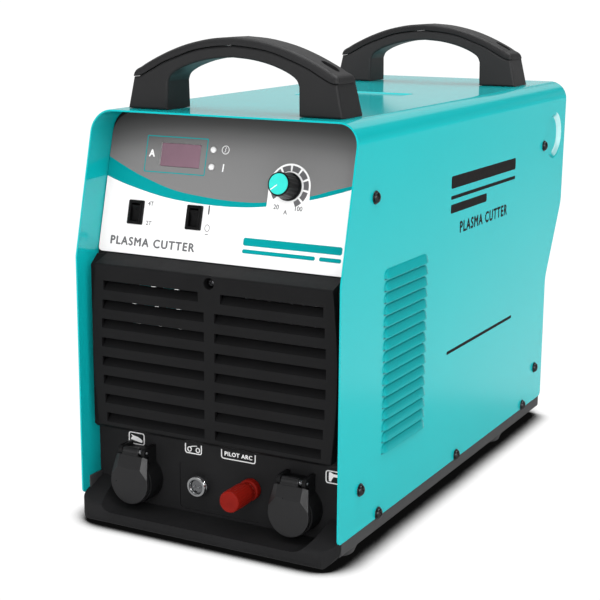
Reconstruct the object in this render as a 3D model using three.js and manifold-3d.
// Plasma cutter unit: a steel inverter case with a moulded front, two carrying handles, two lidded
// current sockets, a signal socket, a pilot-arc terminal post, rocker switches, a current knob, and
// a fan at the rear.
// Millimetres. +X is to the right seen from the front, +Y runs to the rear, +Z is up; the feet
// stand on z = 0. Inside this file y is measured from the cover's lower front edge; the group is
// moved at the end so that the origin is the bottom centre of the bounding box.
import * as THREE from "three";
import Module from "manifold-3d";

// ---------------------------------------------------------------- driving dimensions
const GAP = 0.3; // clearance between pieces that touch

// cover
const COVER_W = 270; // overall width
const SHEET = 1.5; // sheet thickness
const COVER_Z0 = 23.1; // lower edge
const COVER_TOP = 381.6; // top face
const BEND_R = 20; // outside bend radius of the top corners
const BREAK_Z = 250.5; // where the front edge starts to lean back
const FRONT_TOP_Y = 32.4; // front edge of the top
const REAR_LOW_Y = 531.5; // lower rear edge
const REAR_TOP_Y = 581; // upper rear edge
const REAR_BREAK_Z0 = 164; // the rear edge leans out between these two heights
const REAR_BREAK_Z1 = 248;
const TOP_RISE = 4.5; // the top climbs this much from its front edge to its rear edge
const CLIMB_Z = 358; // cover and rear panel climb above this height
const HALF = COVER_W / 2;
const INNER = HALF - SHEET; // inside face of the cover wall
const FIT_X = INNER - GAP; // half width of everything that stands between the walls
const REACH_X = 150; // half length of cuts that run right across the unit

// control plate: its face leans back from its lower edge line at (PLATE_Y, PLATE_Z)
const PLATE_Y = 30;
const PLATE_Z = 245;
const SLOPE = Math.atan2(32.5, 128.6); // lean from the vertical
const PLATE_T = 1.5;

// front
const PANEL_Y = 28; // face of the lower panel
const PANEL_T = 3;
const PANEL_BACK_Y = PANEL_Y + PANEL_T;
const MOUNT_Y = PANEL_Y - GAP; // rear of what is mounted on the panel
const RECESS_DEEP = 0.8; // recess round the signal socket and the terminal post
const RECESS_MOUNT_Y = PANEL_Y + RECESS_DEEP - GAP;
const GRILLE_SCREW_Z = 236.8;
const GRILLE_SCREW_HOLE_R = 2.3;
const SOCKET_X = 83.8; // current sockets, left and right
const LID_Z = 41; // centre height of sockets and lids
const TRIGGER = { x: -20, z: 43.5 };
const POST = { x: 33, z: 48.4, capY: -12 };

// controls, in the plate's own frame: x across, y up the slope, z out of the face
const SWITCH_X = { mode: -95.8, test: -33 };
const SWITCH_Y = 44.8;
const KNOB = { x: 59.2, y: 79, hole: 5 };
const WINDOW = { x0: -76.9, x1: -34.7, y0: 88.8, y1: 110.3 };
const LED = { x: -21.8, y: { fault: 106.7, power: 91.2 }, radius: 2.9 };

// handles: front faces at the foot, and the fixing screws from the middle and from that face
const HANDLE_Y = { front: 50, rear: 474 };
const HANDLE_SCREW = { x: 88, y: 20 };

// base tray and the level of what stands on its floor
const TRAY = { y0: 10, y1: 531, bottom: 8, rim: 38 };
const ON_TRAY_Z = TRAY.bottom + SHEET + GAP;

// rear
const REAR_Y = 511; // inside face of the rear panel
const REAR_MOUNT_Y = REAR_Y + SHEET + GAP; // seat of what is mounted outside it
const FAN = { z: 152, radius: 70, half: 75 };
const BREAKER = { x: -62, z: 306 };
const GLAND = { x: 98, z: 52 };
const INLET = { x: 84, z: 306 };

// side screws, the same on both sides: [y, z]
const SIDE_SCREWS = {
  front_top: [62.7, 316.5],
  rear_top: [506.2, 319.2],
  front_low: [41.1, 61.3],
  rear_low: [505.1, 62.7],
  base_front: [79.3, 27.2],
  base_mid: [266.5, 27.2],
  base_rear: [467.1, 27.2],
};

// ---------------------------------------------------------------- helpers
const wasm = await Module();
wasm.setup();

const X_DIR = [1, 0, 0];
const Y_DIR = [0, 1, 0];
const Z_DIR = [0, 0, 1];
const { clamp, degToRad } = THREE.MathUtils;

const unindexed = (geometry) => (geometry.index ? geometry.toNonIndexed() : geometry.clone());

// welds a closed triangle geometry into a manifold
function weld(geometry, matrix) {
  const loose = unindexed(geometry);
  if (matrix) loose.applyMatrix4(matrix);
  const position = loose.getAttribute("position").array;
  const known = new Map();
  const vertices = [];
  const corners = [];
  for (let i = 0; i < position.length; i += 3) {
    const point = position.slice(i, i + 3);
    const key = Array.from(point, (value) => Math.round(value * 2e4)).join();
    if (!known.has(key)) {
      known.set(key, vertices.length / 3);
      vertices.push(...point);
    }
    corners.push(known.get(key));
  }
  const kept = [];
  for (let i = 0; i < corners.length; i += 3) {
    const triangle = corners.slice(i, i + 3);
    if (new Set(triangle).size === 3) kept.push(...triangle);
  }
  return new wasm.Manifold(
    new wasm.Mesh({
      numProp: 3,
      vertProperties: new Float32Array(vertices),
      triVerts: new Uint32Array(kept),
    }),
  );
}

function insideOut(geometry) {
  const flipped = unindexed(geometry);
  const position = flipped.getAttribute("position").array;
  for (let i = 0; i < position.length; i += 9) {
    for (let k = i; k < i + 3; k++) {
      [position[k], position[k + 3]] = [position[k + 3], position[k]];
    }
  }
  return flipped;
}

// a solid with its faces outwards, whichever way the geometry was wound
function solid(geometry, matrix) {
  const welded = weld(geometry, matrix);
  return welded.volume() < 0 ? weld(insideOut(geometry), matrix) : welded;
}

const move = (x, y, z) => new THREE.Matrix4().makeTranslation(x, y, z);
// rotation about "X", "Y" or "Z", then a shift
const spin = (axis, degrees, x, y, z) =>
  new THREE.Matrix4()["makeRotation" + axis](degToRad(degrees)).setPosition(x, y, z);
const placed = (piece, matrix) => piece.transform([...matrix.elements]);
const mirrorX = (piece) => piece.mirror(X_DIR);
const bothSides = (piece) => piece.add(mirrorX(piece));

const shapeOf = (points) => new THREE.Shape(points.map((point) => new THREE.Vector2(...point)));
// prisms: an outline in [y, z], [x, z] or [x, y], run along the third axis between two planes
const prismFrames = {
  X: (from) => new THREE.Matrix4().set(0, 0, 1, from, 1, 0, 0, 0, 0, 1, 0, 0, 0, 0, 0, 1),
  Y: (from, to) => new THREE.Matrix4().set(1, 0, 0, 0, 0, 0, -1, to, 0, 1, 0, 0, 0, 0, 0, 1),
  Z: (from) => move(0, 0, from),
};
function prism(axis, outline, from, to, holes = []) {
  const geometry = new THREE.ExtrudeGeometry(shapeOf(outline), {
    depth: to - from,
    bevelEnabled: false,
  });
  return holes.reduce(
    (piece, hole) => piece.subtract(prism(axis, hole, from - 1, to + 1)),
    solid(geometry, prismFrames[axis](from, to)),
  );
}
const alongX = (...args) => prism("X", ...args);
const alongY = (...args) => prism("Y", ...args);
const alongZ = (...args) => prism("Z", ...args);

const box = (x0, x1, y0, y1, z0, z1) =>
  solid(
    new THREE.BoxGeometry(x1 - x0, y1 - y0, z1 - z0),
    move((x0 + x1) / 2, (y0 + y1) / 2, (z0 + z1) / 2),
  );

// outline with rounded corners: each corner may carry a radius [x, y, radius]
function rounded(corners, segments = 4) {
  const points = [];
  const count = corners.length;
  corners.forEach(([x, y, radius], i) => {
    if (!radius) {
      points.push([x, y]);
      return;
    }
    const corner = new THREE.Vector2(x, y);
    const towards = (k) =>
      new THREE.Vector2(...corners[k % count].slice(0, 2)).sub(corner).normalize();
    const before = towards(i + count - 1);
    const after = towards(i + 1);
    const halfAngle = Math.acos(clamp(before.dot(after), -1, 1)) / 2;
    const reach = radius / Math.tan(halfAngle);
    const centre = before.clone().add(after).normalize();
    centre.multiplyScalar(radius / Math.sin(halfAngle)).add(corner);
    const angleAt = (side) => {
      const tangent = corner.clone().addScaledVector(side, reach);
      return Math.atan2(tangent.y - centre.y, tangent.x - centre.x);
    };
    const start = angleAt(before);
    let sweep = angleAt(after) - start;
    while (sweep > Math.PI) sweep -= 2 * Math.PI;
    while (sweep < -Math.PI) sweep += 2 * Math.PI;
    for (let k = 0; k <= segments; k++) {
      const angle = start + (sweep * k) / segments;
      points.push([centre.x + radius * Math.cos(angle), centre.y + radius * Math.sin(angle)]);
    }
  });
  return points;
}
const rect = (x0, x1, y0, y1, radius = 0, segments = 4) =>
  rounded([[x0, y0, radius], [x1, y0, radius], [x1, y1, radius], [x0, y1, radius]], segments);
const circle = (x, y, radius, segments) =>
  Array.from({ length: segments }, (_, i) => {
    const angle = (2 * Math.PI * i) / segments;
    return [x + radius * Math.cos(angle), y + radius * Math.sin(angle)];
  });
// cross-section with the cover's two bends at the top
const bentOutline = (half, bottom, top, radius) =>
  rounded([[-half, bottom], [half, bottom], [half, top, radius], [-half, top, radius]], 5);
// the same section, just clear of the cover's inside
const insideCover = (bottom) =>
  bentOutline(FIT_X, bottom, COVER_TOP - SHEET - GAP, BEND_R - SHEET - GAP);

// body of revolution: profile of [radius, distance along], direction is where "along" points
function turned(profile, at, direction, segments) {
  const geometry = new THREE.LatheGeometry(
    profile.map((point) => new THREE.Vector2(...point)),
    segments,
  );
  const tilt = new THREE.Quaternion().setFromUnitVectors(
    new THREE.Vector3(0, 1, 0),
    new THREE.Vector3(...direction),
  );
  const unitScale = new THREE.Vector3(1, 1, 1);
  return solid(
    geometry,
    new THREE.Matrix4().compose(new THREE.Vector3(...at), tilt, unitScale),
  );
}
const rod = (radius, at, direction, length, segments) =>
  turned([[0, 0], [radius, 0], [radius, length], [0, length]], at, direction, segments);

// lifts everything above a height with the climbing top
const climb = (piece, above) =>
  piece.warp((point) => {
    if (point[2] <= above) return;
    point[2] += (TOP_RISE * (point[1] - FRONT_TOP_Y)) / (REAR_TOP_Y - FRONT_TOP_Y);
  });

function drillSideScrews(piece, names) {
  const HOLE_R = 2.2;
  return names.reduce((drilled, name) => {
    const [y, z] = SIDE_SCREWS[name];
    return drilled.subtract(rod(HOLE_R, [-REACH_X, y, z], X_DIR, 2 * REACH_X, 8));
  }, piece);
}

// ---------------------------------------------------------------- materials
const finish = (settings) => new THREE.MeshStandardMaterial(settings);
const teal = () => finish({ color: 0x1fb9bb, roughness: 0.3, metalness: 0.1 });
const black = () => finish({ color: 0x24262a, roughness: 0.6, metalness: 0 });
const grey = () => finish({ color: 0x4b4e52, roughness: 0.6, metalness: 0.1 });
const steel = () => finish({ color: 0xb9bcc0, roughness: 0.35, metalness: 0.9 });
const brass = () => finish({ color: 0xb08d3e, roughness: 0.35, metalness: 0.9 });
const red = () => finish({ color: 0x8c2316, roughness: 0.45, metalness: 0 });
const white = () => finish({ color: 0xe8e8e8, roughness: 0.4, metalness: 0 });
const tintedWindow = () => finish({ color: 0x81676f, roughness: 0.2, metalness: 0 });
const circuitGreen = () => finish({ color: 0x1f6b3a, roughness: 0.5, metalness: 0 });
const transformerBrown = () => finish({ color: 0x5b3a22, roughness: 0.6, metalness: 0 });

// ---------------------------------------------------------------- groups
const group = new THREE.Group();
group.name = "plasma_cutter_unit";

// the control plate's own frame
const plateGroup = new THREE.Group();
plateGroup.position.set(0, PLATE_Y, PLATE_Z);
plateGroup.rotation.x = Math.PI / 2 - SLOPE;
plateGroup.updateMatrix();

// adds a solid to a group as a named mesh
function put(name, piece, material, parent = group) {
  const { numProp, numVert, vertProperties, triVerts } = piece.getMesh();
  const position = new Float32Array(numVert * 3);
  for (let i = 0; i < numVert; i++) {
    position.set(vertProperties.subarray(i * numProp, i * numProp + 3), i * 3);
  }
  const geometry = new THREE.BufferGeometry()
    .setAttribute("position", new THREE.BufferAttribute(position, 3))
    .setIndex(new THREE.BufferAttribute(new Uint32Array(triVerts), 1));
  geometry.computeVertexNormals();
  const mesh = new THREE.Mesh(geometry, material);
  mesh.name = name;
  parent.add(mesh);
}

// ---------------------------------------------------------------- cover
const TOP_DISH = { halfX: 53, y0: 256, y1: 336, deep: 1.5 };
const ROUND_DISH = { y: 540.5, z: 327, radius: 25, deep: 4, flare: 3.2 };
const LOUVRE = {
  count: 16,
  pitch: 10.66,
  y0: 91,
  y1: 176,
  topZ: 241.9, // lip of the highest louvre
  out: 2.6,
  rootX: HALF - 0.7, // where the hood grows out of the wall
};

function coverShell() {
  const side = rounded([
    [0, COVER_Z0, 5],
    [REAR_LOW_Y, COVER_Z0, 5],
    [REAR_LOW_Y, REAR_BREAK_Z0, 30],
    [REAR_TOP_Y - 4, REAR_BREAK_Z1, 30],
    [REAR_TOP_Y, COVER_TOP + 1],
    [FRONT_TOP_Y, COVER_TOP + 1],
    [0, BREAK_Z, 18],
  ], 3);
  const hollow = bentOutline(INNER, COVER_Z0 - 10, COVER_TOP - SHEET, BEND_R - SHEET);
  return alongY(bentOutline(HALF, COVER_Z0, COVER_TOP, BEND_R), -4, 600)
    .subtract(alongY(hollow, -5, 601))
    .intersect(alongX(side, -REACH_X, REACH_X));
}

// box whose bottom is smaller than its top by the taper on every side
function taperedBox(halfX, y0, y1, z0, z1, taper) {
  const geometry = new THREE.BoxGeometry(2 * halfX, y1 - y0, z1 - z0);
  const position = geometry.getAttribute("position");
  for (let i = 0; i < position.count; i++) {
    if (position.getZ(i) > 0) continue;
    const x = position.getX(i);
    const y = position.getY(i);
    position.setXY(i, x - Math.sign(x) * taper, y - Math.sign(y) * taper);
  }
  return solid(geometry, move(0, (y0 + y1) / 2, (z0 + z1) / 2));
}

// pressed dish in the top: the sheet goes down with sloped walls
function pressTopDish(cover) {
  const { halfX, y0, y1, deep } = TOP_DISH;
  const floor = COVER_TOP - deep;
  const metal = taperedBox(
    halfX + SHEET, y0 - SHEET, y1 + SHEET, floor - SHEET, COVER_TOP - 0.4, 3);
  return cover.add(metal).subtract(taperedBox(halfX, y0, y1, floor, COVER_TOP + 1, 4));
}

// round dish at the upper rear of one side
function pressRoundDish(cover, side) {
  const { y, z, radius, deep, flare } = ROUND_DISH;
  const cup = (floorR, depth) =>
    turned([[0, 0], [floorR, 0], [floorR + flare, deep + 1], [0, deep + 1]],
      [side * (HALF - depth), y, z], [side, 0, 0], 20);
  return cover.add(cup(radius - 0.8, SHEET + deep)).subtract(cup(radius - 2.6, deep));
}

// an open slot under a pressed hood, on both sides
function pressLouvre(cover, z) {
  const { y0, y1, rootX } = LOUVRE;
  const crown = HALF + LOUVRE.out;
  const slotRoot = HALF - 3;
  const slotCrown = crown - 1.1;
  const hood = [[rootX, z + 9], [HALF, z + 9], [crown, z + 2.4], [crown, z], [rootX, z]];
  const slot = [
    [slotRoot, z - 1], [slotCrown, z - 1], [slotCrown, z + 1.9],
    [rootX, z + 7.3], [slotRoot, z + 7.3],
  ];
  return cover
    .add(bothSides(alongY(hood, y0, y1)))
    .subtract(bothSides(alongY(slot, y0 + 1.2, y1 - 1.2)));
}

function makeCover() {
  let cover = pressTopDish(coverShell());
  for (const side of [1, -1]) cover = pressRoundDish(cover, side);
  for (let i = 0; i < LOUVRE.count; i++) {
    cover = pressLouvre(cover, LOUVRE.topZ - i * LOUVRE.pitch);
  }
  cover = drillSideScrews(cover, Object.keys(SIDE_SCREWS));
  for (const frontY of Object.values(HANDLE_Y)) {
    for (const side of [-1, 1]) {
      const at = [side * HANDLE_SCREW.x, frontY + HANDLE_SCREW.y, COVER_TOP - 5];
      cover = cover.subtract(rod(3.4, at, Z_DIR, 10, 8));
    }
  }
  return climb(cover, CLIMB_Z);
}
put("cover", makeCover(), teal());

function sideScrew(side, y, z) {
  const lift = 0.15; // head above the sheet
  return turned(
    [[0, -8], [1.9, -8], [1.9, lift], [5.2, lift], [5, 1.2], [3.2, 2.3], [0, 2.6]],
    [side * (HALF + lift), y, z], [side, 0, 0], 8);
}
for (const [name, [y, z]] of Object.entries(SIDE_SCREWS)) {
  put("screw_right_" + name, sideScrew(1, y, z), steel());
  put("screw_left_" + name, sideScrew(-1, y, z), steel());
}

// ---------------------------------------------------------------- base tray
const FOOT_Y = [42.5, 410];
const FOOT_X = FIT_X - 20.5;

function makeBaseTray() {
  const { y0, y1, bottom, rim } = TRAY;
  const wall = FIT_X - SHEET;
  const floor = bottom + SHEET;
  const section = rounded([
    [-FIT_X, rim], [-FIT_X, bottom, 4], [FIT_X, bottom, 4], [FIT_X, rim],
    [wall, rim], [wall, floor, 2.6], [-wall, floor, 2.6], [-wall, rim],
  ], 2);
  let tray = alongY(section, y0, y1).add(box(-FIT_X + 3, FIT_X - 3, y1 - SHEET, y1, 8.2, 26));
  // pressed feet: tapered cups with a flat underside
  for (const y of FOOT_Y) {
    for (const x of [FOOT_X, -FOOT_X]) {
      const cup = [[0, 0], [14, 0], [15.5, 0.8], [19, 9.2], [0, 9.2]];
      const bore = [[0, 0], [13.4, 0], [17.3, 9.5], [0, 9.5]];
      tray = tray
        .add(turned(cup, [x, y, 0], Z_DIR, 16))
        .subtract(turned(bore, [x, y, 1.6], Z_DIR, 16));
    }
  }
  return drillSideScrews(tray, ["base_front", "base_mid", "base_rear"]);
}
put("base_tray", makeBaseTray(), grey());

// ---------------------------------------------------------------- front panel
const BUMPER_Y = -11; // front of the bottom bumper
const BUMPER_Z = 1.5; // its underside
const TRAY_NOTCH_X = 131.2; // notches for the tray walls start here

// a point on the control section's side view, up the slope and out of the face, as [y, z]
const onPlate = (up, out) => [
  PLATE_Y + up * Math.sin(SLOPE) - out * Math.cos(SLOPE),
  PLATE_Z + up * Math.cos(SLOPE) + out * Math.sin(SLOPE),
];

// openings for window, switches, lamps and knob, in the plate's frame
function controlOpenings(windowInset, lampHoleR) {
  const switchHole = (x) => rect(x - 6.7, x + 6.7, SWITCH_Y - 9.8, SWITCH_Y + 9.8);
  return [
    rect(WINDOW.x0 + windowInset, WINDOW.x1 - windowInset,
      WINDOW.y0 + windowInset, WINDOW.y1 - windowInset),
    switchHole(SWITCH_X.mode),
    switchHole(SWITCH_X.test),
    circle(LED.x, LED.y.fault, lampHoleR, 12),
    circle(LED.x, LED.y.power, lampHoleR, 12),
    circle(KNOB.x, KNOB.y, KNOB.hole, 14),
  ];
}

const trayNotches = (y0, y1, z0, z1) => bothSides(box(TRAY_NOTCH_X, 140, y0, y1, z0, z1));

// a bar with rising cheeks, rounded in front
function bumper() {
  const frontView = rounded([
    [-FIT_X, 36], [-FIT_X, BUMPER_Z, 16], [FIT_X, BUMPER_Z, 16], [FIT_X, 36],
  ], 5);
  const between = rounded([[-113, 60], [-113, 14.4, 20], [113, 14.4, 20], [113, 60]], 5);
  const sideView = rounded([
    [PANEL_BACK_Y, BUMPER_Z], [PANEL_BACK_Y, 35.7], [3, 24.6, 6],
    [BUMPER_Y, 18.5, 5], [BUMPER_Y, BUMPER_Z, 8],
  ], 3);
  const topView = rounded([
    [-FIT_X, 40], [-FIT_X, BUMPER_Y, 17], [FIT_X, BUMPER_Y, 17], [FIT_X, 40],
  ], 5);
  return alongY(frontView, BUMPER_Y, PANEL_BACK_Y)
    .subtract(alongY(between, -30, PANEL_Y))
    .intersect(alongX(sideView, -140, 140))
    .intersect(alongZ(topView, -5, 60))
    // room for the tray, which runs forward under the panel
    .subtract(box(-140, 140, 9, 60, -5, 12.4))
    .subtract(trayNotches(9, 60, 9, 60));
}

function makeFrontPanel() {
  const face = -PLATE_T - GAP;
  const back = face - PANEL_T;
  const wall = [
    [PANEL_Y, 11.4], [PANEL_Y, 236], [31.6, 236], [31.6, 244.3],
    onPlate(1, face), onPlate(137, face), onPlate(137, back), onPlate(1, back),
    [PANEL_BACK_Y + 0.6, 236], [PANEL_BACK_Y, 234], [PANEL_BACK_Y, 11.4],
  ];
  // side flanges that take the cover screws
  const flange = [
    [PANEL_Y + 2, 45], [PANEL_Y + 2, 233], [33, 237], [33.6, 243],
    onPlate(10, -3), onPlate(132, -3), onPlate(132, -26), onPlate(10, -26),
    [54, 234], [54, 45],
  ];
  let panel = alongX(wall, -FIT_X, FIT_X)
    .subtract(trayNotches(20, 40, 0, 38.6))
    .add(bothSides(alongX(flange, FIT_X - 2.4, FIT_X)))
    .add(bumper())
    .intersect(alongY(insideCover(-5), -20, 120))
    // air opening behind the grille
    .subtract(box(-112, 112, 20, 50, 96, 230))
    .subtract(alongY(rect(-43.4, 44.2, 17, 62.5, 4, 3), PANEL_Y - 1, PANEL_Y + RECESS_DEEP));
  // connector and screw holes: [x, z, radius, length, segments]
  const holes = [
    [-SOCKET_X, LID_Z, 16, 20, 20],
    [SOCKET_X, LID_Z, 16, 20, 20],
    [TRIGGER.x, TRIGGER.z, 8.2, 20, 16],
    [POST.x, POST.z, 5.2, 20, 12],
    [0, GRILLE_SCREW_Z, GRILLE_SCREW_HOLE_R, 30, 8],
  ];
  for (const [x, z, radius, length, segments] of holes) {
    panel = panel.subtract(rod(radius, [x, 20, z], Y_DIR, length, segments));
  }
  for (const opening of controlOpenings(2, 3.3)) {
    panel = panel.subtract(placed(alongZ(opening, -20, 5), plateGroup.matrix));
  }
  return drillSideScrews(panel, ["front_top", "front_low"]);
}
put("front_panel", makeFrontPanel(), black());

// ---------------------------------------------------------------- grille
const FIELD = { y: 11, bottom: 90.5, top: 243.5, halfX: 121.5, bow: 5, wall: 3 }; // raised part
const FLANGE_Y = 20.5; // face of the flange round it
// slots: top edge of the highest, pitch, height, inner and outer ends
const SLOT = { count: 8, top: 228.6, pitch: 17.87, height: 8.2, inner: 5.4, outer: 110.9 };

// how far the field's sides are bowed outwards at a height
const bowAt = (z) =>
  FIELD.bow * Math.sin((Math.PI * (z - FIELD.bottom)) / (FIELD.top - FIELD.bottom));

function fieldOutline() {
  const right = Array.from({ length: 7 }, (_, i) => {
    const z = FIELD.bottom + ((FIELD.top - FIELD.bottom) * i) / 6;
    return [FIELD.halfX + bowAt(z), z];
  });
  return [...right, ...right.slice().reverse().map(([x, z]) => [-x, z])];
}

// a pair of slots that slope down towards the front
function grilleSlots(index) {
  const z1 = SLOT.top - index * SLOT.pitch;
  const z0 = z1 - SLOT.height;
  const sideView = [
    [FIELD.y - 1, z0 - 1.2], [FIELD.y + 5, z0 + 1.5],
    [FIELD.y + 5, z1 + 1.5], [FIELD.y - 1, z1 - 0.6],
  ];
  const inner = SLOT.inner + (index === 0 ? 6 : 0); // the highest pair clears the screw well
  return bothSides(alongX(sideView, inner, SLOT.outer + bowAt((z0 + z1) / 2)));
}

function makeGrille() {
  const { y, bottom, top, halfX, wall } = FIELD;
  const outline = fieldOutline();
  const hollow = outline.map(([x, z]) => [x - Math.sign(x) * wall, clamp(z, bottom + wall, 232)]);
  const flange = [
    [FLANGE_Y, 87], [FLANGE_Y, 240], [30.6, 248.6], [31.2, 248.6],
    [31.2, 236.5], [MOUNT_Y, 236.5], [MOUNT_Y, 84], [24, 84],
  ];
  // shelf sloping up to the control plate
  const shelf = [[y, 240], [y, top], [30.6, 250.2], [31.2, 250.2], [31.2, 240]];
  let grille = alongX(flange, -FIT_X, FIT_X)
    .add(alongY(outline, y, MOUNT_Y))
    .add(alongX(shelf, -halfX, halfX))
    .subtract(alongY(hollow, y + wall, 40));
  for (let i = 0; i < SLOT.count; i++) grille = grille.subtract(grilleSlots(i));
  // screw well in the middle at the top
  const wellAt = (wellY) => [0, wellY, GRILLE_SCREW_Z];
  return grille
    .add(rod(7.5, wellAt(y), Y_DIR, 16.5, 14))
    .subtract(rod(5.3, wellAt(y - 1), Y_DIR, 7, 14))
    .subtract(rod(GRILLE_SCREW_HOLE_R, wellAt(y - 1), Y_DIR, 30, 8));
}
put("front_grille", makeGrille(), black());

const grilleScrew = () =>
  turned([[0, -2.4], [1.6, -2.4], [3.4, -1.9], [4.6, 0], [2, 0], [2, 20], [0, 20]],
    [0, FIELD.y + 5.7, GRILLE_SCREW_Z], Y_DIR, 12);
put("grille_screw", grilleScrew(), steel());

// ---------------------------------------------------------------- control plate and its parts
// All in the plate's frame.
group.add(plateGroup);
const PLATE_Y0 = 6.5; // lower and upper edge, up the slope
const PLATE_Y1 = 136;
const ROCKER_Z = -1.8; // trunnion axis
const BOARD_Z = -25.5; // parts on the control board start just inside its face
const atKnob = (z) => [KNOB.x, KNOB.y, z];

function controlPlate() {
  const half = FIT_X - 0.6;
  const outline = rounded([
    [-half, PLATE_Y0, 3], [half, PLATE_Y0, 3], [half, PLATE_Y1, 20], [-half, PLATE_Y1, 20],
  ], 5);
  return alongZ(outline, -PLATE_T, 0, controlOpenings(0, 3.2));
}
put("control_plate", controlPlate(), white(), plateGroup);

const windowBlock = (inset, z0, z1) =>
  box(WINDOW.x0 + inset, WINDOW.x1 - inset, WINDOW.y0 + inset, WINDOW.y1 - inset, z0, z1);
const displayWindow = () => windowBlock(GAP, -PLATE_T, -GAP).add(windowBlock(2.4, -6, -1));
put("display_window", displayWindow(), tintedWindow(), plateGroup);

const lamp = (y) =>
  turned([[0, -9], [LED.radius, -9], [LED.radius, 0.2], [2.2, 1.3], [0, 1.8]],
    [LED.x, y, 0], Z_DIR, 12);
for (const [name, y] of Object.entries(LED.y)) {
  put("led_" + name, lamp(y), white(), plateGroup);
}

function switchHousing(x) {
  const y = SWITCH_Y;
  return alongZ(rect(x - 8.3, x + 8.3, y - 11.1, y + 11.1, 0.8, 2), GAP, 1.9)
    .add(box(x - 6.3, x + 6.3, y - 9.4, y + 9.4, -16, 1))
    .subtract(box(x - 4.7, x + 4.7, y - 8.2, y + 8.2, -8, 3))
    .subtract(rod(1.4, [x - 6, y, ROCKER_Z], X_DIR, 12, 10));
}

// a shallow V on top, turned 11 degrees about its trunnions
function switchRocker(x) {
  const section = [[-7.1, -3.2], [7.1, -3.2], [7.1, 2.9], [0, 1.5], [-7.1, 2.9]];
  const rocker = alongX(section, -4.3, 4.3).add(rod(1.05, [-5.7, 0, 0], X_DIR, 11.4, 10));
  return placed(rocker, spin("X", 11, x, SWITCH_Y, ROCKER_Z));
}
for (const [name, x] of Object.entries(SWITCH_X)) {
  put(name + "_switch_housing", switchHousing(x), black(), plateGroup);
  put(name + "_switch_rocker", switchRocker(x), black(), plateGroup);
}

// potentiometer behind the panel, its bushing through the plate
const currentPot = () =>
  turned([[0, -24], [12, -24], [12, -5.4], [4.6, -5.4], [4.6, 5], [0, 5]], atKnob(0), Z_DIR, 18)
    .subtract(rod(3.3, atKnob(-18), Z_DIR, 30, 12));
put("current_pot", currentPot(), steel(), plateGroup);

// knob, hollow below, recessed on top for its cap, with its shaft
function currentKnob() {
  const profile = [
    [0, 1], [11.7, 1], [11.7, 3], [10.4, 4], [9.7, 20.4], [9.2, 21], [0, 21],
  ];
  return turned(profile, atKnob(0), Z_DIR, 24)
    .subtract(rod(7.4, atKnob(0), Z_DIR, 8, 16))
    .subtract(rod(8.5, atKnob(19.4), Z_DIR, 3, 24))
    .add(rod(3, atKnob(-17), Z_DIR, 30, 12));
}
put("current_knob", currentKnob(), black(), plateGroup);

// cap with a pointer groove towards the lower left
const knobCap = () =>
  rod(8.2, atKnob(19.4 + GAP), Z_DIR, 1.5, 24)
    .subtract(placed(box(1.2, 9, -0.5, 0.5, 20.8, 22), spin("Z", -142, ...atKnob(0))));
put("knob_cap", knobCap(), teal(), plateGroup);

// board with the display module, lamp posts and switch blocks
function controlBoard() {
  let board = box(-116, 36, 14, 126, -26.6, -25)
    .add(windowBlock(-1, BOARD_Z, -6.4))
    .add(box(-100, -80, 62, 82, BOARD_Z, -14))
    .add(box(-60, -30, 66, 76, BOARD_Z, -18));
  for (const y of Object.values(LED.y)) {
    board = board.add(rod(3.1, [LED.x, y, BOARD_Z], Z_DIR, 16.2, 8));
  }
  for (const x of Object.values(SWITCH_X)) {
    board = board.add(box(x - 5, x + 5, SWITCH_Y - 8, SWITCH_Y + 8, BOARD_Z, -16.4));
  }
  return board;
}
put("control_board", controlBoard(), circuitGreen(), plateGroup);

// ---------------------------------------------------------------- current sockets with lids
const SOCKET_DEEP = 19.2; // the part in front of the panel
const LID_R = 20.2;
const LID_Y = 3; // front face of the lid
const PIN = { y: 12.5, z: 69.5, radius: 1.4, bore: 1.75 };
const pinBore = (x) => rod(PIN.bore, [x - 20, PIN.y, PIN.z], X_DIR, 40, 10);

function socketBody(x) {
  const earOutline = rounded([
    [PIN.y - 4.4, PIN.z + 4.4, 4.2], [MOUNT_Y, PIN.z + 4.4], [MOUNT_Y, LID_Z + 8],
    [17.5, LID_Z + 14], [PIN.y + 3.4, PIN.z - 4.4], [PIN.y - 4.4, PIN.z - 4.4, 4.2],
  ], 3);
  const ear = (offset) => alongX(earOutline, x + offset - 1.9, x + offset + 1.9);
  const barrel = [
    [0, 0], [21, 0], [22, 1], [22, SOCKET_DEEP], [15.7, SOCKET_DEEP],
    [15.7, 40], [9, 40], [9, 54], [0, 54],
  ];
  const bore = [[0, -2], [12.5, -2], [12.5, 5], [9.5, 6], [9.5, 28], [0, 28]];
  const lidRelief = [[0, 52.6], [8.3, 52.6], [13.4, 68], [13.4, 80], [0, 80]];
  const mouth = [x, MOUNT_Y - SOCKET_DEEP, LID_Z];
  return turned(barrel, mouth, Y_DIR, 24)
    .subtract(alongX(lidRelief, x - 30, x + 30))
    .add(box(x - 14.4, x + 14.4, 18.5, MOUNT_Y, LID_Z + 8, PIN.z + 1))
    .add(ear(-12.5))
    .add(ear(12.5))
    .subtract(turned(bore, mouth, Y_DIR, 20))
    .subtract(pinBore(x));
}

const lidPin = (x) => rod(PIN.radius, [x - 15.2, PIN.y, PIN.z], X_DIR, 30.4, 10);

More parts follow.
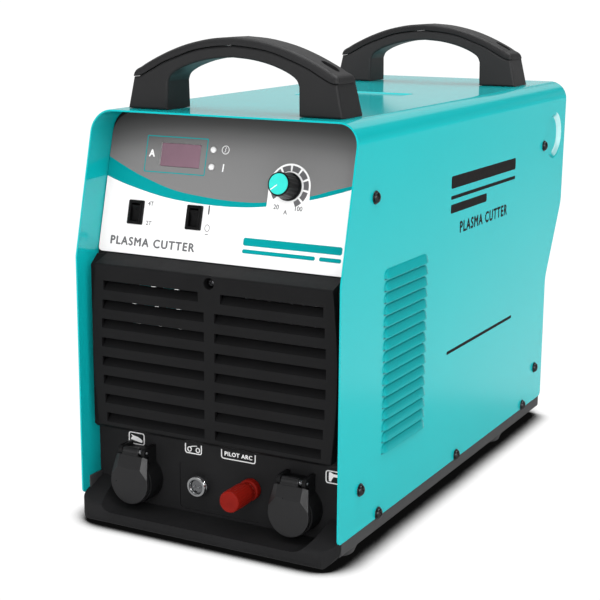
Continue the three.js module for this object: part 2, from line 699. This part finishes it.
function socketLid(x) {
  // a disc with straight shoulders up to the barrel
  const shoulder = Math.asin(13 / LID_R);
  const outline = [];
  for (let i = 0; i <= 16; i++) {
    const angle = Math.PI - shoulder + ((Math.PI + 2 * shoulder) * i) / 16;
    outline.push([x + LID_R * Math.cos(angle), LID_Z + LID_R * Math.sin(angle)]);
  }
  outline.push([x + 16.3, PIN.z - 3], [x - 16.3, PIN.z - 3]);
  const backY = LID_Y + 4.4;
  const sideView = [
    [LID_Y, 15], [LID_Y, LID_Z + 13], [LID_Y + 4.6, PIN.z - 3],
    [LID_Y + 8.4, PIN.z - 2.5], [backY, LID_Z + 13], [backY, 15],
  ];
  const web = [
    [backY, PIN.z - 4], [LID_Y + 6.6, PIN.z + 1], [PIN.y, PIN.z + 2],
    [PIN.y - 1, PIN.z - 3.4], [LID_Y + 8.4, PIN.z - 6],
  ];
  const earRelief = (x0) => rod(5.4, [x0, PIN.y, PIN.z], X_DIR, 19.7, 14);
  return alongY(outline, -5, 30)
    .intersect(alongX(sideView, x - 30, x + 30))
    .subtract(earRelief(x - 30))
    .subtract(earRelief(x + 10.3))
    .add(rod(3.6, [x - 10.2, PIN.y, PIN.z], X_DIR, 20.4, 14))
    .add(alongX(web, x - 10.2, x + 10.2))
    .subtract(pinBore(x));
}
for (const [name, x] of [["earth", -SOCKET_X], ["torch", SOCKET_X]]) {
  put(name + "_socket_body", socketBody(x), black());
  put(name + "_lid_pin", lidPin(x), steel());
  put(name + "_socket_lid", socketLid(x), grey());
}

// ---------------------------------------------------------------- signal socket
const TRIGGER_DEEP = 10.3; // the part in front of the panel
const atTrigger = (y, offset = 0) => [TRIGGER.x + offset, y, TRIGGER.z];

function triggerShell() {
  const profile = [
    [0, 0], [9.2, 0], [9.8, 0.8], [9.8, 6], [8.8, 7],
    [8.8, TRIGGER_DEEP], [7.9, TRIGGER_DEEP], [7.9, 24], [0, 24],
  ];
  return turned(profile, atTrigger(RECESS_MOUNT_Y - TRIGGER_DEEP), Y_DIR, 18)
    .subtract(rod(6.6, atTrigger(10), Y_DIR, 60, 16));
}
put("trigger_socket_shell", triggerShell(), steel());

// insert with two contact pins
const triggerInsert = () =>
  rod(6.6 - GAP, atTrigger(21.5), Y_DIR, 22, 16)
    .add(rod(0.9, atTrigger(18.6, -2.4), Y_DIR, 6, 8))
    .add(rod(0.9, atTrigger(18.6, 2.4), Y_DIR, 6, 8));
put("trigger_socket_insert", triggerInsert(), black());

// ---------------------------------------------------------------- pilot-arc terminal post
const COLLAR_DEEP = 7;
const WASHER_T = 1.4;
const STUD_R = 3;
const STUD_BORE_R = STUD_R + GAP;
const COLLAR_Y = RECESS_MOUNT_Y - COLLAR_DEEP;
const atPost = (y) => [POST.x, y, POST.z];

function postCollar() {
  const profile = [
    [0, 0], [8.6, 0], [10, 1.2], [10, COLLAR_DEEP], [4.9, COLLAR_DEEP], [4.9, 14], [0, 14],
  ];
  return turned(profile, atPost(COLLAR_Y), Y_DIR, 20)
    .subtract(rod(STUD_BORE_R, atPost(10), Y_DIR, 60, 12));
}
put("pilot_post_collar", postCollar(), red());
put("pilot_post_stud", rod(STUD_R, atPost(-6), Y_DIR, 56, 12), brass());

function postWasher() {
  const inner = STUD_BORE_R;
  const section = [[inner, 0], [7.4, 0], [7.4, WASHER_T], [inner, WASHER_T], [inner, 0]];
  return turned(section, atPost(COLLAR_Y - GAP - WASHER_T), Y_DIR, 16);
}
put("pilot_post_washer", postWasher(), steel());

const postCap = () =>
  turned([[0, 0], [8.8, 0], [10, 1.6], [10, 25], [8.4, 26.4], [8.4, 31.2], [0, 31.2]],
    atPost(POST.capY), Y_DIR, 20)
    .subtract(rod(STUD_BORE_R, atPost(POST.capY + 5.2), Y_DIR, 40, 12));
put("pilot_post_cap", postCap(), red());

// ---------------------------------------------------------------- handles
const HANDLE_Z = COVER_TOP + GAP; // underside of the legs

// right halves of the curves in front view, from the middle outwards: [x, z]
const SEAM = [ // between body and grip
  [0, 440.6], [20, 439], [39.5, 435.6], [59, 429], [73, 423.6],
  [86, 416.8], [94, 412.6], [98.5, 411], [103, 410.5],
];
const GRIP_TOP = [
  [0, 447.4], [20, 446], [36, 443.3], [52, 439.3], [68, 433.6],
  [82, 427.4], [93, 421.8], [101, 416.6], [104.6, 413.6],
];
const ARCH = [ // underside of the bridge and inside of the legs
  [0, 430], [18, 428.6], [34, 425.6], [47, 421.6], [57, 417.2], [63.5, 412.6], [66.2, 407],
];
// steps that round the grip's long top edges: [drop below the top curve, y from, y to]
const SHOULDERS = [[3.2, 0, 4], [1.3, 0, 7], [3.2, 33, 37], [1.3, 30, 37]];

// whole curve from left to right, shifted in height
function wholeCurve(half, lift = 0) {
  const right = half.map(([x, z]) => [x, z + lift]);
  return [...right.slice(1).reverse().map(([x, z]) => [-x, z]), ...right];
}

// legs and bridge under the seam
function handleBody(frontY) {
  const outline = [
    [-109, HANDLE_Z], ...wholeCurve(SEAM, -GAP / 2), [109, HANDLE_Z],
    [67, HANDLE_Z], ...wholeCurve(ARCH).reverse(), [-67, HANDLE_Z],
  ];
  const sideView = [
    [frontY, HANDLE_Z - 1], [frontY + 2.6, 450], [frontY + 33.5, 450],
    [frontY + 41, HANDLE_Z - 1],
  ];
  let body = alongY(outline, frontY - 5, frontY + 50).intersect(alongX(sideView, -120, 120));
  for (const side of [-1, 1]) {
    const at = [side * HANDLE_SCREW.x, frontY + HANDLE_SCREW.y, HANDLE_Z - 1];
    body = body.subtract(rod(2.6, at, Z_DIR, 20, 8));
  }
  return climb(body, 0);
}

// cover of the grip, stepped along its long edges
function handleGrip(frontY) {
  const outline = [
    ...wholeCurve(SEAM, GAP / 2), [105.6, 411.2],
    ...wholeCurve(GRIP_TOP).reverse(), [-105.6, 411.2],
  ];
  const sideView = [
    [frontY + 1.2, 405], [frontY + 35.8, 405], [frontY + 35.2, 450], [frontY + 1.8, 450],
  ];
  let grip = alongY(outline, frontY - 5, frontY + 50).intersect(alongX(sideView, -120, 120));
  for (const [drop, y0, y1] of SHOULDERS) {
    const above = [...wholeCurve(GRIP_TOP, -drop), [107, 460], [-107, 460]];
    grip = grip.subtract(alongY(above, frontY + y0, frontY + y1));
  }
  // oval pockets near the ends, over the fixing screws
  const oval = circle(0, 0, 1, 14).map(([x, y]) => [x * 9.5, y * 5.2]);
  for (const side of [-1, 1]) {
    const place = spin("Y", side * 28, side * 86.5, frontY + 18.5, 422.3);
    grip = grip.subtract(placed(alongZ(oval, 0, 8), place));
  }
  return climb(grip, 0);
}
for (const [name, frontY] of Object.entries(HANDLE_Y)) {
  put(name + "_handle", handleBody(frontY), black());
  put(name + "_handle_grip", handleGrip(frontY), black());
}

// ---------------------------------------------------------------- rear panel
function makeRearPanel() {
  const outerY = REAR_Y + SHEET;
  const hole = (radius, x, z, segments) =>
    rod(radius, [x, REAR_Y - 5, z], Y_DIR, 10, segments);
  const { x, z } = BREAKER;
  const panel = alongY(insideCover(40), REAR_Y, outerY)
    .add(box(-FIT_X + 6, FIT_X - 6, REAR_Y, outerY, 10, 41))
    // side flanges that take the cover screws
    .add(bothSides(box(FIT_X - SHEET, FIT_X, REAR_Y - 24, outerY, 41, 350)))
    .subtract(hole(FAN.radius, 0, FAN.z, 32))
    .subtract(box(x - 27.6, x + 27.6, REAR_Y - 5, REAR_Y + 5, z - 23, z + 23))
    .subtract(hole(12.3, GLAND.x, GLAND.z, 16))
    .subtract(hole(6.8, INLET.x, INLET.z, 12));
  return climb(drillSideScrews(panel, ["rear_top", "rear_low"]), CLIMB_Z);
}
put("rear_panel", makeRearPanel(), black());

// ---------------------------------------------------------------- fan
const FAN_Y1 = REAR_Y - GAP; // rear face of the frame
const FAN_Y0 = FAN_Y1 - 50; // front face
const FAN_ARMS = [45, 135, 225, 315]; // degrees
const atFan = (y) => [0, y, FAN.z];

// frame with its motor stator on four struts, and the shaft
function fanFrame() {
  const { z, half, radius } = FAN;
  const rim = 5; // thickness of the flanges and struts
  const waist = alongY(
    rect(-half - 1, half + 1, z - half - 1, z + half + 1),
    FAN_Y0 + rim, FAN_Y1 - rim, [circle(0, z, radius + 3, 32)]);
  let frame = alongY(
    rect(-half, half, z - half, z + half, 5, 2),
    FAN_Y0, FAN_Y1, [circle(0, z, radius + 0.8, 32)])
    .subtract(waist)
    .add(rod(26, atFan(FAN_Y0), Y_DIR, 12, 20))
    .add(rod(3, atFan(FAN_Y0 + 5), Y_DIR, 40, 10));
  for (const angle of FAN_ARMS) {
    const strut = box(20, radius + 2, FAN_Y0, FAN_Y0 + rim, -3.5, 3.5);
    frame = frame.add(placed(strut, spin("Y", angle, 0, 0, z)));
  }
  return frame;
}
put("fan_frame", fanFrame(), black());

// hub with seven pitched blades
function fanRotor() {
  const BLADES = 7;
  const PITCH = 42; // degrees
  let rotor = rod(24, atFan(FAN_Y0 + 13), Y_DIR, 32, 20);
  for (let i = 0; i < BLADES; i++) {
    const place = spin("Y", (i * 360) / BLADES, ...atFan(FAN_Y0 + 29));
    place.multiply(spin("X", PITCH, 44, 0, 0));
    rotor = rotor.add(placed(box(-25, 25, -1.1, 1.1, -15, 15), place));
  }
  return rotor
    .intersect(rod(FAN.radius - 1.6, atFan(FAN_Y0 + 13), Y_DIR, 33, 32))
    .subtract(rod(3.3, atFan(FAN_Y0 + 8), Y_DIR, 50, 10));
}
put("fan_rotor", fanRotor(), black());

// rings joined by spokes, outside the panel
function fanGuard() {
  const y = REAR_MOUNT_Y;
  const bossR = FAN.radius + 13; // distance of the fixing bosses from the middle
  const ring = (radius) =>
    alongY(circle(0, FAN.z, radius + 1, 24), y + 2.2, y + 4.2,
      [circle(0, FAN.z, radius - 1, 24)]);
  let guard = [20, 36, 52, 67].map(ring).reduce((all, next) => all.add(next));
  for (const angle of FAN_ARMS) {
    const spoke = box(8, bossR + 1, y + 0.4, y + 2.6, -1.1, 1.1);
    const x = bossR * Math.cos(degToRad(angle));
    const z = FAN.z + bossR * Math.sin(degToRad(angle));
    guard = guard
      .add(placed(spoke, spin("Y", angle, 0, 0, FAN.z)))
      .add(rod(4.5, [x, y, z], Y_DIR, 2.4, 12));
  }
  return guard.add(rod(9, atFan(y + 0.4), Y_DIR, 3.8, 16));
}
put("fan_guard", fanGuard(), steel());

// ---------------------------------------------------------------- supply breaker
const LEVER_Y = REAR_Y - 1; // axis of the toggle lever

// case inside the panel, nose through it
function breakerBody() {
  const { x, z } = BREAKER;
  return box(x - 34, x + 34, REAR_Y - 62, REAR_Y - GAP, z - 42, z + 42)
    .add(box(x - 27, x + 27, REAR_Y - 10, REAR_Y + 6, z - 22.4, z + 22.4))
    .subtract(box(x - 16.4, x + 16.4, REAR_Y - 8, REAR_Y + 8, z - 12.5, z + 12.5))
    .subtract(rod(1.6, [x - 19, LEVER_Y, z], X_DIR, 38, 10));
}
put("breaker_body", breakerBody(), black());

function breakerLever() {
  const { x, z } = BREAKER;
  const blade = [
    [REAR_Y - 2, z - 4], [REAR_Y + 15, z - 14.6], [REAR_Y + 17, z - 12], [REAR_Y + 3, z + 4],
  ];
  return rod(6, [x - 15.8, LEVER_Y, z], X_DIR, 31.6, 16)
    .add(rod(1.3, [x - 18.6, LEVER_Y, z], X_DIR, 37.2, 10))
    .add(alongX(blade, x - 15.4, x + 15.4));
}
put("breaker_lever", breakerLever(), black());

// ---------------------------------------------------------------- cable gland and mains cable
const SEAT = GAP + SHEET; // flanges outside the rear panel start here, from its inside face

// threaded tube, flange and dome nut in one piece
function cableGland() {
  const profile = [
    [0, -16], [12, -16], [12, SEAT], [17, SEAT], [17, 9], [14.6, 10],
    [14.6, 19], [12.5, 24], [10.4, 26], [0, 26],
  ];
  return turned(profile, [GLAND.x, REAR_Y, GLAND.z], Y_DIR, 18)
    .subtract(rod(8.3, [GLAND.x, REAR_Y - 30, GLAND.z], Y_DIR, 70, 16));
}
put("cable_gland", cableGland(), black());

// out through the gland, then bent down
function mainsCable() {
  const point = (y, drop) => new THREE.Vector3(GLAND.x, REAR_Y + y, GLAND.z - drop);
  const path = new THREE.CurvePath();
  path.add(new THREE.LineCurve3(point(-60, 0), point(32, 0)));
  path.add(new THREE.CubicBezierCurve3(point(32, 0), point(46, 0), point(58, 6), point(59, 24)));
  path.add(new THREE.LineCurve3(point(59, 24), point(59, 44)));
  return solid(
    new THREE.ExtrudeGeometry(shapeOf(circle(0, 0, 7.8, 12)), {
      steps: 22,
      extrudePath: path,
      bevelEnabled: false,
    }),
  );
}
put("mains_cable", mainsCable(), black());

// ---------------------------------------------------------------- air inlet
// bulkhead with a barbed tail outside and a nipple inside
function airInlet() {
  const profile = [
    [0, -30], [5, -30], [5, -14], [6.4, -14], [6.4, SEAT], [10.5, SEAT], [10.5, 10], [6.2, 10],
    [6.2, 14], [5, 15], [6, 20], [4.6, 20], [5.6, 26], [4.4, 26], [4.4, 34], [0, 34],
  ];
  return turned(profile, [INLET.x, REAR_Y, INLET.z], Y_DIR, 12)
    .subtract(rod(2.8, [INLET.x, REAR_Y - 31, INLET.z], Y_DIR, 70, 10));
}
put("air_inlet", airInlet(), brass());

// ---------------------------------------------------------------- what stands inside
// finned channel on four feet along the air path from the grille to the fan
function heatSink() {
  let sink = box(-70, 70, 190, 430, 206, 214);
  for (let i = 0; i < 11; i++) {
    const x = -68 + i * 13.2;
    sink = sink.add(box(x, x + 2.5, 190, 430, 120, 207));
  }
  const footRows = [194, 416];
  for (const y of footRows) sink = sink.add(box(-70, 70, y, y + 10, 110, 122));
  for (const y of footRows) {
    for (const x of [-62, 62]) sink = sink.add(box(x - 8, x + 8, y, y + 10, ON_TRAY_Z, 112));
  }
  return sink;
}
put("heat_sink", heatSink(), steel());

// board over the heat sink on four spacers, with its capacitors and modules
function powerBoard() {
  const partZ = 227; // parts start inside the board's thickness
  let board = box(-105, 105, 150, 440, 226, 228);
  for (const y of [200, 420]) {
    for (const x of [-62, 62]) board = board.add(rod(4, [x, y, 214 + GAP], Z_DIR, 12, 8));
  }
  for (let i = 0; i < 3; i++) {
    for (const x of [-72, 72]) {
      board = board.add(rod(17.5, [x, 190 + i * 45, partZ], Z_DIR, 50, 16));
    }
  }
  return board
    .add(box(-36, 36, 180, 240, partZ, 250))
    .add(box(-36, 36, 262, 322, partZ, 250))
    .add(box(-60, -10, 350, 420, partZ, 262))
    .add(rod(19, [42, 382, partZ], Z_DIR, 26, 18));
}
put("power_board", powerBoard(), circuitGreen());

// main transformer on the tray: base, core with a window through it, and winding
const transformer = () =>
  box(-48, 48, 270, 360, ON_TRAY_Z, 20)
    .add(box(-40, 40, 280, 350, 18, 96))
    .subtract(box(-24, 24, 270, 360, 32, 82))
    .add(box(-10, 10, 281, 349, 30, 84))
    .add(alongZ(rect(-22, 22, 270, 360, 12, 4), 33, 81));
put("transformer", transformer(), transformerBrown());

// air solenoid valve in front of the inlet: body, coil, side bracket and two ports
function solenoidValve() {
  const { x, z } = INLET;
  const y = REAR_Y;
  return box(x - 16, x + 16, y - 72, y - 36, z - 16, z + 10)
    .add(box(x - 14, x + 14, y - 70, y - 42, z + 8, z + 48))
    .add(box(x + 12, x + 44, y - 66, y - 63, z - 14, z + 8))
    .add(box(x + 44, x + 46.8, y - 66, y - 46, z - 14, z + 8))
    .add(rod(5, [x, y - 92, z - 3], Y_DIR, 24, 10))
    .add(rod(7, [x, y - 37, z], Y_DIR, 6.6, 12));
}
put("solenoid_valve", solenoidValve(), steel());

// y runs from the front of the terminal cap to the cover's upper rear edge
group.position.set(0, -(REAR_TOP_Y + POST.capY) / 2, 0);
group.updateMatrixWorld(true);

export default group;
